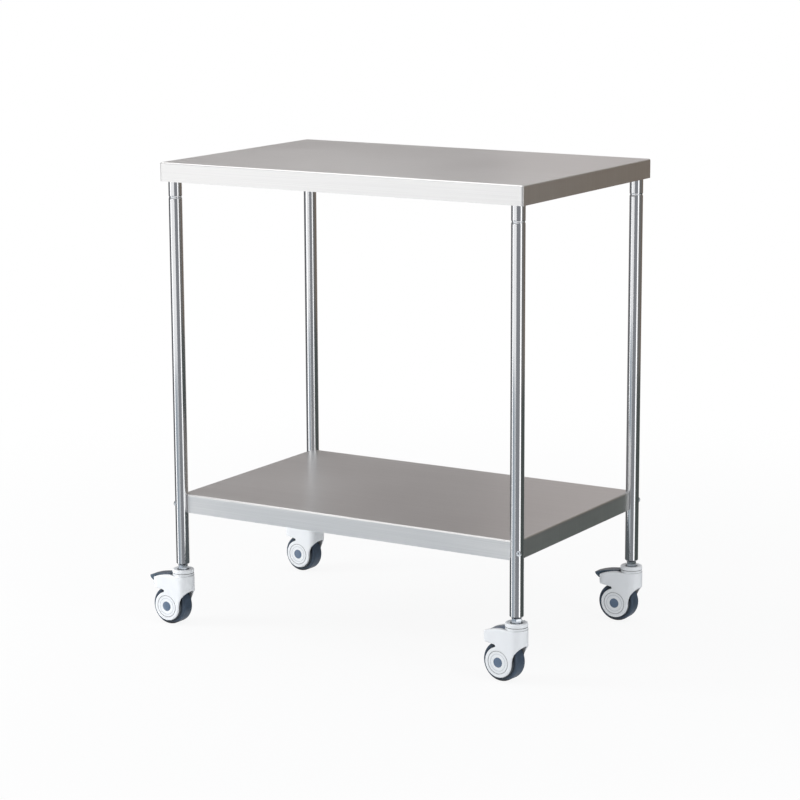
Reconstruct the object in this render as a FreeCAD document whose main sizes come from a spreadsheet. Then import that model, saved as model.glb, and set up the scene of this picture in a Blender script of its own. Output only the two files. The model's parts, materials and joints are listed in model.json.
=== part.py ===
"""Surgical instrument table: folded worktop and shelf on four tube legs and swivel casters.

Millimetres. The origin is on the floor under the middle of the table. X runs along the
long side, Y from the front to the back, Z up. Every piece is a solid of its own.
"""
import FreeCAD, Part
import math
import os
import Sketcher
from FreeCAD import Placement, Rotation, Vector

# Driving sizes: word alias, value, what it measures
SIZES = (
    ("table_length", 775, "worktop, left to right"),
    ("table_width", 500, "worktop, front to back"),
    ("table_height", 898.5, "floor to the top of the worktop"),
    ("sheet_gauge", 1.2, "thickness of the folded sheets"),
    ("bend_radius", 3.5, "outside radius of the sheet's folds"),
    ("apron_depth", 36, "height of the worktop's folded edge"),
    ("lip_width", 14, "fold under the apron, inwards"),
    ("lip_setback", 44, "from a corner to the start of the lip"),
    ("shelf_height", 260, "floor to the top of the shelf"),
    ("shelf_apron", 36.5, "height of the shelf's folded edge"),
    ("shelf_lip", 12, "fold under the shelf's apron, inwards"),
    ("leg_inset", 20, "leg's axis inside the worktop's outer faces"),
    ("leg_radius", 12.7, "outside of the leg tube"),
    ("leg_wall", 1.2, "wall of the leg tube"),
    ("foot_rise", 19.6, "housing's top to the lower end of the leg"),
    ("foot_length", 19.6, "visible turned end of the leg"),
    ("foot_chamfer", 4.5, "chamfer at the leg's lower end"),
    ("spigot_length", 26, "foot plug inside the tube"),
    ("seam_drop", 66.2, "worktop's top to the middle of the ring seam"),
    ("seam_gap", 1.4, "open ring between socket and tube"),
    ("seam_taper", 3.2, "length of the drawn-in tube ends at the seam"),
    ("seam_draw", 0.9, "how far the tube ends are drawn in"),
    ("stud_reach", 30, "joint stud above and below the seam"),
    ("weld_leg", 2.5, "weld bead round the socket's upper end"),
    ("slip", 0.05, "radial clearance of a push fit"),
    ("corner_gap", 0.3, "between the leg and the shelf's notch"),
    ("rib_width", 50, "web of a stiffening rib"),
    ("rib_flange", 14, "flange of a stiffening rib"),
    ("rib_depth", 22, "depth of a stiffening rib"),
    ("rib_spacing", 220, "between the two ribs of the worktop"),
    ("rib_end_gap", 40, "from the tray's end to the rib's end"),
    ("bracket_gauge", 2, "thickness of the corner bracket"),
    ("bracket_reach", 32, "bracket's flange along the apron"),
    ("bracket_height", 26, "height of the corner bracket"),
    ("screw_drop", 19.3, "shelf's top to the shelf screw's axis"),
    ("screw_radius", 3, "shank of the shelf screw"),
    ("screw_head_radius", 5, "dome head of the shelf screw"),
    ("screw_head_height", 3, "dome head of the shelf screw"),
    ("screw_rim", 0.6, "straight edge of the dome head"),
    ("screw_tip", 2, "end of the shelf screw past its nut"),
    ("screw_nut_flats", 10, "across flats of the shelf screw's nut"),
    ("screw_nut_height", 5, "height of the shelf screw's nut"),
    ("stem_radius", 6, "threaded caster stem"),
    ("stem_reach", 38, "stem inside the leg"),
    ("stem_shoulder", 8.5, "thrust shoulder under the hexagon, radius"),
    ("stem_flange", 9, "riveted end below the bearing, radius"),
    ("stem_flange_height", 3.2, "riveted end below the bearing"),
    ("hex_flats", 17, "across flats of the stem's hexagon"),
    ("hex_height", 8.6, "height of the stem's hexagon"),
    ("trail", 26, "wheel axle behind the swivel axis"),
    ("wheel_radius", 36.5, "outside of the tread"),
    ("tread_half_width", 14, "half the tread's width"),
    ("tread_rounding", 3.5, "rounded shoulders of the tread"),
    ("core_radius", 29, "wheel core under the tread"),
    ("core_rim", 24.5, "inside of the core's rim"),
    ("core_web", 3, "half the thickness of the core's web"),
    ("hub_radius", 14, "hub of the wheel core"),
    ("hub_half_width", 13.4, "half the hub's width"),
    ("bearing_radius", 11, "wheel bearing"),
    ("bearing_width", 7, "wheel bearing"),
    ("hub_bore", 8, "bore of the hub between its bearings, radius"),
    ("axle_radius", 4, "axle bolt"),
    ("axle_flats", 13, "across flats of the axle bolt's head and nut"),
    ("axle_head", 4, "height of the axle bolt's head and nut"),
    ("ear_radius", 28.3, "round ears of the housing"),
    ("ear_face", 21.3, "middle of the caster to an ear's outer face"),
    ("shell_wall", 2.9, "wall of the hollow housing"),
    ("front_wall", 3.2, "wall round the hollow in front of the wheel"),
    ("hollow_drop", 23.4, "housing's top to the top of the hollow"),
    ("boss_radius", 13, "bosses for the axle inside the ears"),
    ("boss_face", 13.8, "middle of the caster to a boss's inner face"),
    ("boss_wall", 2, "boss between the wheel and the bolt's head"),
    ("well_gap", 3, "over the tread"),
    ("arch_radius", 39, "concave front of the housing over the wheel"),
    ("neck_radius", 20.6, "round neck on the housing, under the collar"),
    ("neck_height", 4.4, "round neck on the housing, under the collar"),
    ("housing_rise", 62.5, "wheel's axle to the top of the housing"),
    ("nose_start", 20, "swivel axis to the start of the nose's curve"),
    ("nose_reach", 63.3, "swivel axis to the end of the nose"),
    ("nose_end_radius", 10.5, "nose end seen from the side"),
    ("nose_end_drop", 17.6, "housing's top to the middle of the nose end"),
    ("nose_plan_radius", 15, "nose corners seen from above"),
    ("notch_reach", 35.3, "swivel axis to the notch between nose and ear"),
    ("notch_radius", 2.4, "closed end of the notch"),
    ("housing_rounding", 2.4, "outer edges of the housing"),
    ("ring_radius", 21, "ring groove on the ears"),
    ("ring_width", 1.1, "ring groove on the ears"),
    ("ring_depth", 0.7, "ring groove on the ears"),
    ("cap_radius", 9.3, "axle cap"),
    ("cap_seat", 1.2, "cap's recess in the ear"),
    ("cap_rise", 0.7, "cap proud of the ear"),
    ("cap_bore", 8.3, "counterbore under the cap"),
    ("pedal_slot_start", 17.5, "swivel axis to the pedal's slot"),
    ("pedal_slot_half", 13.1, "half the pedal's slot"),
    ("slot_depth", 24.9, "depth of the pedal's slot"),
    ("shoe_play", 1.5, "open slot past the brake shoe"),
    ("pivot_reach", 27, "swivel axis to the pedal's pivot"),
    ("pivot_drop", 9.4, "housing's top to the pedal's pivot"),
    ("pivot_radius", 3, "pedal's moulded pivots"),
    ("pivot_half", 16, "middle of the pedal to a pivot's end"),
    ("pivot_wall", 2, "plastic round the pedal's pivots"),
    ("pedal_half_width", 12.5, "half the pedal's width"),
    ("pedal_reach", 74.3, "swivel axis to the pedal's tip"),
    ("pedal_tip_rise", 0.6, "pedal's pivot up to its tip"),
    ("pedal_top_rise", 10.4, "pedal's pivot up to its inner end"),
    ("pedal_top_radius", 130, "long curve of the pedal's top"),
    ("pedal_corner_radius", 7, "pedal's tip seen from above"),
    ("pedal_heel_reach", 22.5, "swivel axis to the pedal's inner end"),
    ("heel_reach", 63, "swivel axis to the pedal's lower corner"),
    ("heel_drop", 8, "pedal's pivot down to its lower corner"),
    ("pedal_rounding", 1.6, "long edges of the pedal's top"),
    ("underside_rise", 3, "pedal's underside over its lower corner"),
    ("underside_run", 10, "pedal's lower corner to its raised underside"),
    ("shoe_outer_reach", 23, "pedal's pivot to the shoe's outer edge"),
    ("shoe_outer_drop", 14.6, "pedal's pivot down to the shoe's outer edge"),
    ("shoe_inner_reach", 13.2, "pedal's pivot to the shoe's inner edge"),
    ("shoe_inner_drop", 12.5, "pedal's pivot down to the shoe's inner edge"),
    ("shoe_half_width", 8, "half the brake shoe's width"),
    ("shoe_gauge", 2.55, "thickness of the brake shoe"),
    ("cover_drop", 0.9, "slot cover's top below the housing's"),
    ("cover_curve", 88, "curve of the slot cover's top"),
    ("cover_setback", 7, "slot cover's end inside the nose's end"),
    ("cover_wall", 5, "slot cover below its pivots"),
    ("seat_radius", 14, "swivel bearing"),
    ("seat_depth", 9.4, "depth of the swivel bearing's seat"),
    ("seat_height", 10.8, "height of the swivel bearing"),
    ("shield_recess", 0.5, "bearing shields below the rings' faces"),
    ("flange_pit_depth", 5.5, "pit under the bearing"),
    ("flange_pit_radius", 10.5, "pit under the bearing"),
    ("collar_radius", 20.9, "white cap over the swivel bearing"),
    ("collar_rise", 12.4, "housing's top to the top of the collar"),
    ("collar_seam", 1.2, "height of the groove under the collar"),
    ("collar_seam_radius", 19.4, "bottom of the groove under the collar"),
    ("collar_hole", 12, "hole in the collar round the stem, radius"),
    ("collar_wall", 2.4, "wall of the collar"),
    ("collar_rounding", 2.6, "upper edge of the collar"),
    ("collar_dish", 1, "collar's top lower at its hole"),
    ("swing_front_left", -1, "degrees that the caster is turned by"),
    ("swing_front_right", -5, "degrees that the caster is turned by"),
    ("swing_rear_left", -4, "degrees that the caster is turned by"),
    ("swing_rear_right", 1, "degrees that the caster is turned by"),
)

# Corner name, side along X, side along Y, quarter turns of the leg, with a brake or not
CORNERS = (
    ("front_left", -1, -1, 0, True),
    ("front_right", 1, -1, 1, False),
    ("rear_right", 1, 1, 2, True),
    ("rear_left", -1, 1, 3, False),
)

OVERCUT = 1.0

doc = FreeCAD.newDocument("instrument_table")
sheet = doc.addObject("Spreadsheet::Sheet", "Sizes")
for row, (alias, value, note) in enumerate(SIZES, start=1):
    sheet.set(f"A{row}", note)
    sheet.set(f"B{row}", str(value))
    sheet.setAlias(f"B{row}", alias)
doc.recompute()

nodes = []


class Size:
    """A length that carries its value and the formula by which the sheet gives it."""

    def __init__(self, value, formula=None):
        self.value = value
        self.formula = str(value) if formula is None else formula

    def join(self, sign, other, value):
        return Size(value, f"({self.formula} {sign} {other.formula})")

    def __add__(self, other):
        other = as_size(other)
        return self.join("+", other, self.value + other.value)

    def __sub__(self, other):
        other = as_size(other)
        return self.join("-", other, self.value - other.value)

    def __mul__(self, other):
        other = as_size(other)
        return self.join("*", other, self.value * other.value)

    def __truediv__(self, other):
        other = as_size(other)
        return self.join("/", other, self.value / other.value)

    def __radd__(self, other):
        return as_size(other) + self

    def __rsub__(self, other):
        return as_size(other) - self

    def __rmul__(self, other):
        return as_size(other) * self

    def __neg__(self):
        return 0 - self


def as_size(item):
    return item if isinstance(item, Size) else Size(item)


def size(alias):
    return Size(float(sheet.get(alias)), f"Sizes.{alias}")


def root(item):
    return Size(math.sqrt(item.value), f"sqrt({item.formula})")


def side_of(hypotenuse, other_side):
    """The third side of a right triangle."""
    return root(hypotenuse * hypotenuse - other_side * other_side)


def bind(target, name, item):
    target.setExpression(name, as_size(item).formula)


def new_body(label):
    body = doc.addObject("PartDesign::Body", label)
    body.Label = label
    body.AllowCompound = True
    return body


def new_node(label):
    body = new_body(label)
    nodes.append(body)
    return body


def sketch_on(body, plane, lift=0, turn=0, aside=0, up=0):
    """A sketch on one of the body's own planes, lifted along its normal, or turned on its vertical."""
    sketch = body.newObject("Sketcher::SketchObject", "Sketch")
    origin_plane = next(item for item in body.Origin.OriginFeatures if item.Role == plane)
    sketch.AttachmentSupport = [(origin_plane, "")]
    sketch.MapMode = "FlatFace"
    shift = Vector(as_size(aside).value, as_size(up).value, as_size(lift).value)
    sketch.AttachmentOffset = Placement(shift, Rotation(Vector(0, 1, 0), turn))
    for name, item in (("x", aside), ("y", up), ("z", lift)):
        if isinstance(item, Size):
            bind(sketch, f"AttachmentOffset.Base.{name}", item)
    return sketch


def hold(sketch, name, kind, *place, item):
    """Adds one constraint that follows the sheet."""
    constraint = Sketcher.Constraint(kind, *place, item.value)
    constraint.Name = name
    sketch.addConstraint(constraint)
    bind(sketch, f"Constraints.{name}", item)


def fix_point(sketch, geometry, end, x, y, mark):
    for name, kind, axis, item in (("x", "DistanceX", -2, x), ("y", "DistanceY", -1, y)):
        item = as_size(item)
        if item.formula == "0":
            sketch.addConstraint(Sketcher.Constraint("PointOnObject", geometry, end, axis))
        else:
            hold(sketch, f"{name}{mark}", kind, -1, 1, geometry, end, item=item)


def arc_between(start, finish, radius, bend):
    """The arc shorter than half a circle from start to finish that bends left or right."""
    chord = finish - start
    left = Vector(-chord.y, chord.x, 0)
    left.normalize()
    height = math.sqrt(max(radius ** 2 - (chord.Length / 2) ** 2, 0))
    centre = (start + finish) * 0.5 + left * (height if bend == "left" else -height)
    first, last = (start, finish) if bend == "left" else (finish, start)
    angles = [math.atan2(point.y - centre.y, point.x - centre.x) for point in (first, last)]
    return Part.ArcOfCircle(Part.Circle(centre, Vector(0, 0, 1), radius), *angles)


def trace(sketch, points, arcs=None):
    """Draws a closed outline. arcs names, by the number of a run's first point, its radius and bend."""
    arcs = arcs or {}
    first = sketch.GeometryCount
    places = [Vector(as_size(x).value, as_size(y).value, 0) for x, y in points]
    ends = []
    for index, start in enumerate(places):
        finish = places[(index + 1) % len(places)]
        if index in arcs:
            radius, bend = arcs[index]
            sketch.addGeometry(arc_between(start, finish, as_size(radius).value, bend), False)
            ends.append((1, 2) if bend == "left" else (2, 1))
        else:
            sketch.addGeometry(Part.LineSegment(start, finish), False)
            ends.append((1, 2))
    for index, (x, y) in enumerate(points):
        after = (index + 1) % len(points)
        geometry = first + index
        joined = ("Coincident", geometry, ends[index][1], first + after, ends[after][0])
        sketch.addConstraint(Sketcher.Constraint(*joined))
        fix_point(sketch, geometry, ends[index][0], x, y, geometry)
        if index in arcs:
            hold(sketch, f"r{geometry}", "Radius", geometry, item=as_size(arcs[index][0]))


def circle(sketch, x, y, radius):
    places = [as_size(item).value for item in (x, y, radius)]
    shape = Part.Circle(Vector(places[0], places[1], 0), Vector(0, 0, 1), places[2])
    geometry = sketch.addGeometry(shape, False)
    fix_point(sketch, geometry, 3, x, y, geometry)
    hold(sketch, f"r{geometry}", "Radius", geometry, item=as_size(radius))


def box_outline(sketch, left, bottom, right, top):
    trace(sketch, ((left, bottom), (right, bottom), (right, top), (left, top)))


def hexagon(sketch, x, y, flats):
    """A hexagon with two corners on the sketch's horizontal through its middle."""
    corner = flats / math.sqrt(3)
    half = flats / 2
    trace(sketch, (
        (x + corner, y),
        (x + corner / 2, y + half),
        (x - corner / 2, y + half),
        (x - corner, y),
        (x - corner / 2, y - half),
        (x + corner / 2, y - half),
    ))


def extrude(body, kind, sketch, length, both_ways=False, reverse=False):
    feature = body.newObject(f"PartDesign::{kind}", kind)
    feature.Profile = sketch
    bind(feature, "Length", length)
    if both_ways:
        feature.SideType = "Symmetric"
    feature.Reversed = reverse
    return feature


def spin(body, kind, sketch, axis):
    feature = body.newObject(f"PartDesign::{kind}", kind)
    feature.Profile = sketch
    feature.ReferenceAxis = (sketch, [axis])
    feature.Angle = 360
    return feature


def round_edges(body, base, radius, chosen):
    """Rounds the edges of a feature for which chosen is true."""
    doc.recompute()
    names = [f"Edge{number}" for number, edge in enumerate(base.Shape.Edges, 1) if chosen(edge)]
    fillet = body.newObject("PartDesign::Fillet", "Fillet")
    fillet.Base = (base, names)
    bind(fillet, "Radius", radius)
    doc.recompute()
    return fillet


def middle_of(edge):
    return edge.valueAt((edge.FirstParameter + edge.LastParameter) / 2)


def is_straight(edge):
    return isinstance(edge.Curve, Part.Line)


def put(target, x, y, z=0, turn=0):
    """Places a piece and keeps its place bound to the sheet."""
    x, y, z, turn = (as_size(item) for item in (x, y, z, turn))
    target.Placement = Placement(Vector(x.value, y.value, z.value), Rotation(Vector(0, 0, 1), turn.value))
    for name, item in (("x", x), ("y", y), ("z", z)):
        bind(target, f"Placement.Base.{name}", item)
    bind(target, "Placement.Rotation.Angle", turn * Size(1, "1 deg"))


# Sizes that several pieces share
gauge = size("sheet_gauge")
leg_x = size("table_length") / 2 - size("leg_inset")
leg_y = size("table_width") / 2 - size("leg_inset")
leg_radius = size("leg_radius")
leg_bore = leg_radius - size("leg_wall")
plug_radius = leg_bore - size("slip")
axle_x = -size("trail")
axle_z = size("wheel_radius")
housing_top = axle_z + size("housing_rise")
leg_bottom = housing_top + size("foot_rise")
tube_bottom = leg_bottom + size("foot_length")
seam_z = size("table_height") - size("seam_drop")
tube_top = seam_z - size("seam_gap") / 2
socket_bottom = seam_z + size("seam_gap") / 2
sheet_underside = size("table_height") - gauge
shelf_bottom = size("shelf_height") - size("shelf_apron")
screw_z = size("shelf_height") - size("screw_drop")
notch_radius = leg_radius + size("corner_gap")
bracket_inner = notch_radius + gauge + size("slip")
bracket_outer = bracket_inner + size("bracket_gauge")
ear = size("ear_face")
ear_inside = ear - size("shell_wall")
head_seat = size("boss_face") + size("boss_wall")
pivot_z = housing_top - size("pivot_drop")
seat_bottom = housing_top - size("seat_depth")


def put_at_corner(target, corner, turn=0):
    name, side_x, side_y, quarter, brake = corner
    put(target, leg_x * side_x, leg_y * side_y, 0, turn)


def put_in_leg_frame(target, corner, extra=0):
    """The leg's own frame has the middle of the table between its X and its Y."""
    put_at_corner(target, corner, 90 * corner[3] + extra)


def put_as_caster(target, corner):
    """The caster's own frame has its wheel trailing along -X."""
    put_at_corner(target, corner, size(f"swing_{corner[0]}"))


def four_of(label, form, extra=0):
    """One node that holds the same small piece at the four corners."""
    copies = []
    for corner in CORNERS:
        copy = doc.addObject("Part::Compound", f"{label}_{corner[0]}")
        copy.Links = [form]
        put_in_leg_frame(copy, corner, extra)
        copies.append(copy)
    group = doc.addObject("Part::Compound", label)
    group.Label = label
    group.Links = copies
    nodes.append(group)


def fold_lips(body, half_length, half_width, bottom, lip, setback):
    """The four inward folds at the lower edge of a tray, stopped short of its corners."""
    sketch = sketch_on(body, "XY_Plane", lift=bottom)
    wall = gauge / 2
    for side in (-1, 1):
        near, far = (half_width - wall) * side, (half_width - lip) * side
        low, high = (near, far) if side < 0 else (far, near)
        box_outline(sketch, setback - half_length, low, half_length - setback, high)
        near, far = (half_length - wall) * side, (half_length - lip) * side
        low, high = (near, far) if side < 0 else (far, near)
        box_outline(sketch, low, setback - half_width, high, half_width - setback)
    extrude(body, "Pad", sketch, gauge)


def make_worktop():
    body = new_node("worktop")
    half_length = size("table_length") / 2
    half_width = size("table_width") / 2
    bottom = size("table_height") - size("apron_depth")
    plan = sketch_on(body, "XY_Plane", lift=bottom)
    box_outline(plan, -half_length, -half_width, half_length, half_width)
    block = extrude(body, "Pad", plan, size("apron_depth"))

    def outer_fold(edge):
        upright = abs(edge.tangentAt(edge.FirstParameter).z) > 0.5
        return upright or middle_of(edge).z > bottom.value + 1

    round_edges(body, block, size("bend_radius"), outer_fold)
    hollow = sketch_on(body, "XY_Plane", lift=bottom)
    inner_length = half_length - gauge
    inner_width = half_width - gauge
    box_outline(hollow, -inner_length, -inner_width, inner_length, inner_width)
    extrude(body, "Pocket", hollow, size("apron_depth") - gauge, reverse=True)
    fold_lips(body, half_length, half_width, bottom, size("lip_width"), size("lip_setback"))


def make_rib(label, tray_length, top, y):
    """A hat-section rib, flanges up against the sheet."""
    body = new_node(label)
    half = size("rib_width") / 2
    edge = half + size("rib_flange")
    low = top - size("rib_depth")
    section = sketch_on(body, "YZ_Plane")
    trace(section, (
        (-edge, top), (-edge, top - gauge), (-half, top - gauge), (-half, low),
        (half, low), (half, top - gauge), (edge, top - gauge), (edge, top),
        (half - gauge, top), (half - gauge, low + gauge),
        (gauge - half, low + gauge), (gauge - half, top),
    ))
    extrude(body, "Pad", section, tray_length - 2 * size("rib_end_gap"), both_ways=True)
    put(body, 0, y)


def notched_outline(sketch, inward, radius):
    """The shelf's outline, drawn inward from its faces, with a notch round each leg."""
    x, y = leg_x - inward, leg_y - inward
    reach = side_of(radius, inward)
    to_x, to_y = leg_x - reach, leg_y - reach
    points = (
        (-to_x, -y), (to_x, -y), (x, -to_y), (x, to_y),
        (to_x, y), (-to_x, y), (-x, to_y), (-x, -to_y),
    )
    trace(sketch, points, {index: (radius, "right") for index in (1, 3, 5, 7)})


def make_shelf():
    body = new_node("shelf")
    plan = sketch_on(body, "XY_Plane", lift=shelf_bottom)
    notched_outline(plan, Size(0), notch_radius)
    block = extrude(body, "Pad", plan, size("shelf_apron"))
    top = size("shelf_height").value
    chosen = lambda edge: is_straight(edge) and middle_of(edge).z > top - 0.5
    round_edges(body, block, size("bend_radius"), chosen)
    hollow = sketch_on(body, "XY_Plane", lift=shelf_bottom)
    notched_outline(hollow, gauge, notch_radius + gauge)
    extrude(body, "Pocket", hollow, size("shelf_apron") - gauge, reverse=True)
    fold_lips(body, leg_x, leg_y, shelf_bottom, size("shelf_lip"), size("lip_setback"))
    for name, side_x, side_y, quarter, brake in CORNERS:
        drill_for_screw(body, leg_x * side_x, leg_y * side_y, -45 * side_x * side_y)


def drill_for_screw(body, x=0, y=0, turn=-45):
    """A cross hole through the leg's axis, on the diagonal of the corner."""
    hole = sketch_on(body, "XZ_Plane", lift=-as_size(y), turn=turn, aside=x)
    circle(hole, 0, screw_z, size("screw_radius") + size("slip"))
    extrude(body, "Pocket", hole, size("bracket_reach") * 2, both_ways=True)


def make_corner_brackets():
    form = new_body("corner_bracket_form")
    face = gauge + size("slip")
    back = face + size("bracket_gauge")
    reach = size("bracket_reach")
    plan = sketch_on(form, "XY_Plane", lift=shelf_bottom + (size("shelf_apron") - size("bracket_height")) / 2)
    inner_foot = side_of(bracket_inner, face)
    outer_foot = side_of(bracket_outer, back)
    points = (
        (inner_foot, face), (reach, face), (reach, back), (outer_foot, back),
        (back, outer_foot), (back, reach), (face, reach), (face, inner_foot),
    )
    trace(plan, points, {3: (bracket_outer, "left"), 7: (bracket_inner, "right")})
    extrude(form, "Pad", plan, size("bracket_height"))
    drill_for_screw(form)
    four_of("shelf_corner_brackets", form)


def make_shelf_screws():
    form = new_body("shelf_screw_form")
    seat = -leg_radius
    head = size("screw_head_radius")
    rise = size("screw_head_height")
    shank = size("screw_radius")
    rim = size("screw_rim")
    end = bracket_outer + size("screw_nut_height") + size("screw_tip")
    profile = sketch_on(form, "XZ_Plane")
    points = ((seat - rise, 0), (end, 0), (end, shank), (seat, shank), (seat, head), (seat - rim, head))
    dome = (head * head + (rise - rim) * (rise - rim)) / (2 * (rise - rim))
    trace(profile, points, {5: (dome, "left")})
    spin(form, "Revolution", profile, "H_Axis")
    lifted = doc.addObject("Part::Compound", "shelf_screw_lifted")
    lifted.Links = [form]
    put(lifted, 0, 0, screw_z)
    four_of("shelf_screws", lifted, extra=45)


def make_shelf_screw_nuts():
    form = new_body("shelf_screw_nut_form")
    face = sketch_on(form, "YZ_Plane", lift=bracket_outer)
    hexagon(face, Size(0), screw_z, size("screw_nut_flats"))
    circle(face, 0, screw_z, size("screw_radius") + size("slip"))
    extrude(form, "Pad", face, size("screw_nut_height"))
    four_of("shelf_screw_nuts", form, extra=45)


def make_leg(corner):
    taper = size("seam_taper")
    draw = size("seam_draw")
    sweep = (taper * taper + draw * draw) / (2 * draw)
    tube = new_node(f"leg_tube_{corner[0]}")
    wall = sketch_on(tube, "XZ_Plane")
    points = (
        (leg_bore, tube_bottom), (leg_radius, tube_bottom), (leg_radius, tube_top - taper),
        (leg_radius - draw, tube_top), (leg_bore, tube_top),
    )
    trace(wall, points, {2: (sweep, "left")})
    spin(tube, "Revolution", wall, "V_Axis")
    drill_for_screw(tube)
    put_in_leg_frame(tube, corner)

    socket = new_node(f"leg_socket_{corner[0]}")
    wall = sketch_on(socket, "XZ_Plane")
    weld = size("weld_leg")
    points = (
        (leg_bore, socket_bottom), (leg_radius - draw, socket_bottom), (leg_radius, socket_bottom + taper),
        (leg_radius, sheet_underside - weld), (leg_radius + weld, sheet_underside), (leg_bore, sheet_underside),
    )
    trace(wall, points, {1: (sweep, "left"), 3: (weld, "right")})
    spin(socket, "Revolution", wall, "V_Axis")
    put_in_leg_frame(socket, corner)


def make_leg_joint_studs():
    form = new_body("leg_joint_stud_form")
    low = seam_z - size("stud_reach")
    high = seam_z + size("stud_reach")
    lead = size("leg_wall")
    profile = sketch_on(form, "XZ_Plane")
    trace(profile, (
        (0, low), (plug_radius - lead, low), (plug_radius, low + lead),
        (plug_radius, high - lead), (plug_radius - lead, high), (0, high),
    ))
    spin(form, "Revolution", profile, "V_Axis")
    four_of("leg_joint_studs", form)


def make_leg_foot_plugs():
    form = new_body("leg_foot_plug_form")
    low = leg_bottom
    chamfer = size("foot_chamfer")
    bore = size("stem_radius") + size("slip")
    high = tube_bottom + size("spigot_length")
    profile = sketch_on(form, "XZ_Plane")
    trace(profile, (
        (bore, low), (leg_radius - chamfer, low), (leg_radius, low + chamfer),
        (leg_radius, tube_bottom), (plug_radius, tube_bottom), (plug_radius, high), (bore, high),
    ))
    spin(form, "Revolution", profile, "V_Axis")
    four_of("leg_foot_plugs", form)


def make_stem(corner):
    body = new_node(f"caster_stem_{corner[0]}")
    radius = size("stem_radius")
    top = leg_bottom + size("stem_reach")
    hex_bottom = leg_bottom - size("hex_height")
    flange_top = seat_bottom - size("corner_gap")
    flange_bottom = flange_top - size("stem_flange_height")
    thrust = seat_bottom + size("seat_height") + size("corner_gap")
    profile = sketch_on(body, "XZ_Plane")
    trace(profile, (
        (0, flange_bottom), (size("stem_flange"), flange_bottom), (size("stem_flange"), flange_top),
        (radius, flange_top), (radius, thrust), (size("stem_shoulder"), thrust),
        (size("stem_shoulder"), hex_bottom + OVERCUT), (radius, hex_bottom + OVERCUT),
        (radius, top - OVERCUT), (radius - OVERCUT, top), (0, top),
    ))
    spin(body, "Revolution", profile, "V_Axis")
    nut = sketch_on(body, "XY_Plane", lift=hex_bottom)
    hexagon(nut, Size(0), Size(0), size("hex_flats"))
    extrude(body, "Pad", nut, size("hex_height"))
    put_as_caster(body, corner)


def make_collar(corner):
    body = new_node(f"caster_collar_{corner[0]}")
    outer = size("collar_radius")
    inner = size("collar_seam_radius")
    hole = size("collar_hole")
    top = housing_top + size("collar_rise")
    foot = housing_top + size("neck_height")
    rounding = size("collar_rounding")
    wall = size("collar_wall")
    step = foot + size("collar_seam")
    rim = top - size("collar_dish")
    hollow = inner - wall
    profile = sketch_on(body, "XZ_Plane")
    points = (
        (hollow, foot), (inner, foot), (inner, step), (outer, step),
        (outer, top - rounding), (outer - rounding, top), (hollow, top), (hole, rim),
        (hole, rim - wall), (hollow, rim - wall),
    )
    trace(profile, points, {4: (rounding, "left")})
    spin(body, "Revolution", profile, "V_Axis")
    put_as_caster(body, corner)


def make_swivel_bearing(corner):
    body = new_node(f"caster_swivel_bearing_{corner[0]}")
    bore = size("stem_radius") + size("slip")
    outer = size("seat_radius")
    low = seat_bottom
    high = low + size("seat_height")
    ring = (outer - bore) / 4
    recess = size("shield_recess")
    profile = sketch_on(body, "XZ_Plane")
    trace(profile, (
        (bore, low), (bore + ring, low), (bore + ring, low + recess), (outer - ring, low + recess),
        (outer - ring, low), (outer, low), (outer, high), (outer - ring, high),
        (outer - ring, high - recess), (bore + ring, high - recess), (bore + ring, high), (bore, high),
    ))
    spin(body, "Revolution", profile, "V_Axis")
    put_as_caster(body, corner)


def housing_outline(sketch):
    """The housing from the side: front cylinder, nose, notch, ear and concave front over the wheel."""
    trail = size("trail")
    arch = size("arch_radius")
    radius = size("ear_radius")
    start = size("nose_start")
    end_radius = size("nose_end_radius")
    end_x = size("nose_reach") - end_radius
    end_z = housing_top - size("nose_end_drop")
    along = end_x - start
    drop = housing_top - end_z
    curve = (along * along + drop * drop - end_radius * end_radius) / (2 * (drop - end_radius))
    share = curve / (curve - end_radius)
    notch_x = size("notch_reach")
    notch = size("notch_radius")
    behind = notch_x - trail
    over = side_of(radius + notch, behind)
    notch_z = axle_z + over
    touch = radius / (radius + notch)
    back = end_x - notch_x
    high = end_z - notch_z
    apart = end_radius + notch
    reach = back * back + high * high
    straight = root(reach - apart * apart)
    lean = (high * straight - apart * back) / reach
    level = (apart * high + back * straight) / reach
    arch_x = radius + arch - trail
    points = (
        (ear, axle_z + side_of(arch, arch_x - ear)),
        (ear, housing_top),
        (-start, housing_top),
        (-(start + along * share), housing_top - curve + (curve - drop) * share),
        (-end_x - end_radius * lean, end_z - end_radius * level),
        (notch * lean - notch_x, notch_z + notch * level),
        (notch - notch_x, notch_z),
        (-trail - behind * touch, axle_z + over * touch),
        (-trail - radius, axle_z),
        (axle_x, axle_z - radius),
        (radius - trail, axle_z),
    )
    arcs = {
        2: (curve, "left"),
        3: (end_radius, "left"),
        5: (notch, "right"),
        6: (notch, "right"),
        7: (radius, "left"),
        8: (radius, "left"),
        9: (radius, "left"),
        10: (arch, "right"),
    }
    trace(sketch, points, arcs)


def trim_outline(sketch):
    """What is cut off, seen from above: round the front cylinder and the nose's corners."""
    past = ear + OVERCUT
    trace(sketch, (
        (0, -past), (past, -past), (past, past), (0, past), (0, ear), (ear, 0), (0, -ear),
    ), {4: (ear, "right"), 5: (ear, "right")})
    end = size("nose_reach")
    radius = size("nose_plan_radius")
    trace(sketch, (
        (radius - end, past), (-end - OVERCUT, past), (-end - OVERCUT, -past), (radius - end, -past),
        (radius - end, -ear), (-end, radius - ear), (-end, ear - radius), (radius - end, ear),
    ), {4: (radius, "right"), 6: (radius, "right")})


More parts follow.
